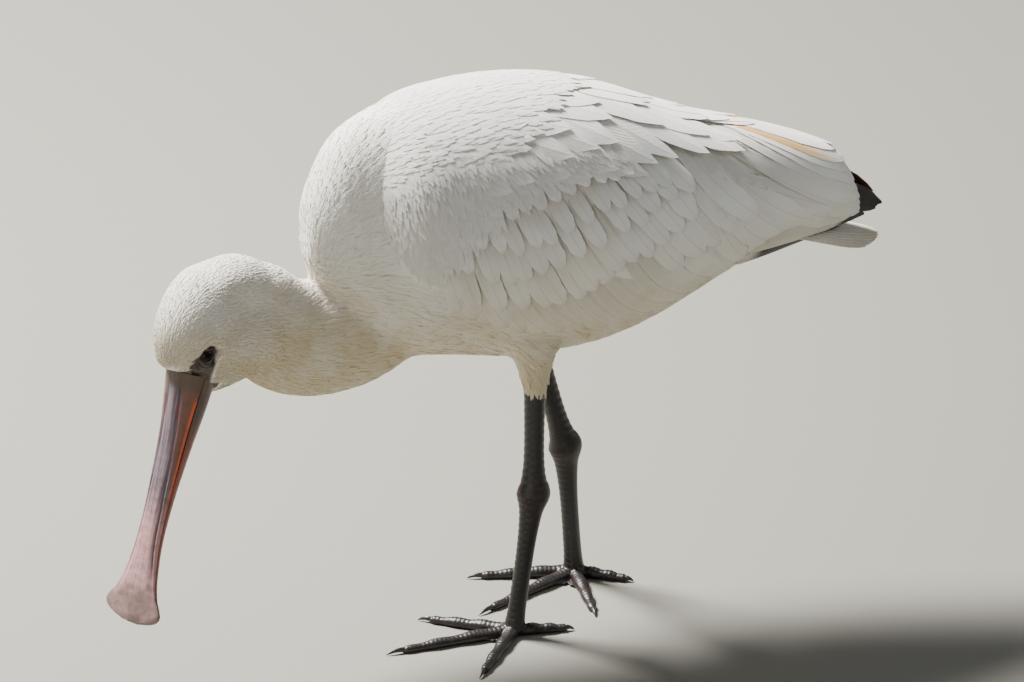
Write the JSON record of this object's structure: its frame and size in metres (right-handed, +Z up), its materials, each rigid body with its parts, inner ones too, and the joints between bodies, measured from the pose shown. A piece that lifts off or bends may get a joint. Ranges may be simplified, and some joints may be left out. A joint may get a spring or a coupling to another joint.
{
  "type": "immature spoonbill",
  "caption": "Still life-size model of a young white spoonbill, standing with its long spatulate bill held down to the ground.",
  "frame": {"origin": "middle of the model's footprint box, on the surface it stands on", "axes": "+Z up, the bird faces -X, its left side is -Y, +Y is its right"},
  "size_m": [0.5676, 0.1756, 0.4063],
  "materials": {
    "body_plumage": "soft matt white feathers with a warm cream tint",
    "flight_feathers": "smooth white vanes, black on the wing tips",
    "bill_upper": "satin horn, slate and lilac-pink",
    "bill_lower": "satin horn, orange-red to brown",
    "eye": "wet gloss, dark brown",
    "leg_skin": "scaled black skin, slightly glossy"
  },
  "bodies": {
    "root": {"bill_lower": "bill_lower", "bill_upper": "bill_upper", "head": "body_plumage", "left_eye": "eye", "left_foot": "leg_skin", "left_tarsus": "leg_skin", "left_thigh": "body_plumage", "left_tibia": "leg_skin", "left_wing": "flight_feathers", "neck_lower": "body_plumage", "neck_upper": "body_plumage", "right_eye": "eye", "right_foot": "leg_skin", "right_tarsus": "leg_skin", "right_thigh": "body_plumage", "right_tibia": "leg_skin", "right_wing": "flight_feathers", "tail": "flight_feathers", "torso": "body_plumage"}
  },
  "joints": []
}
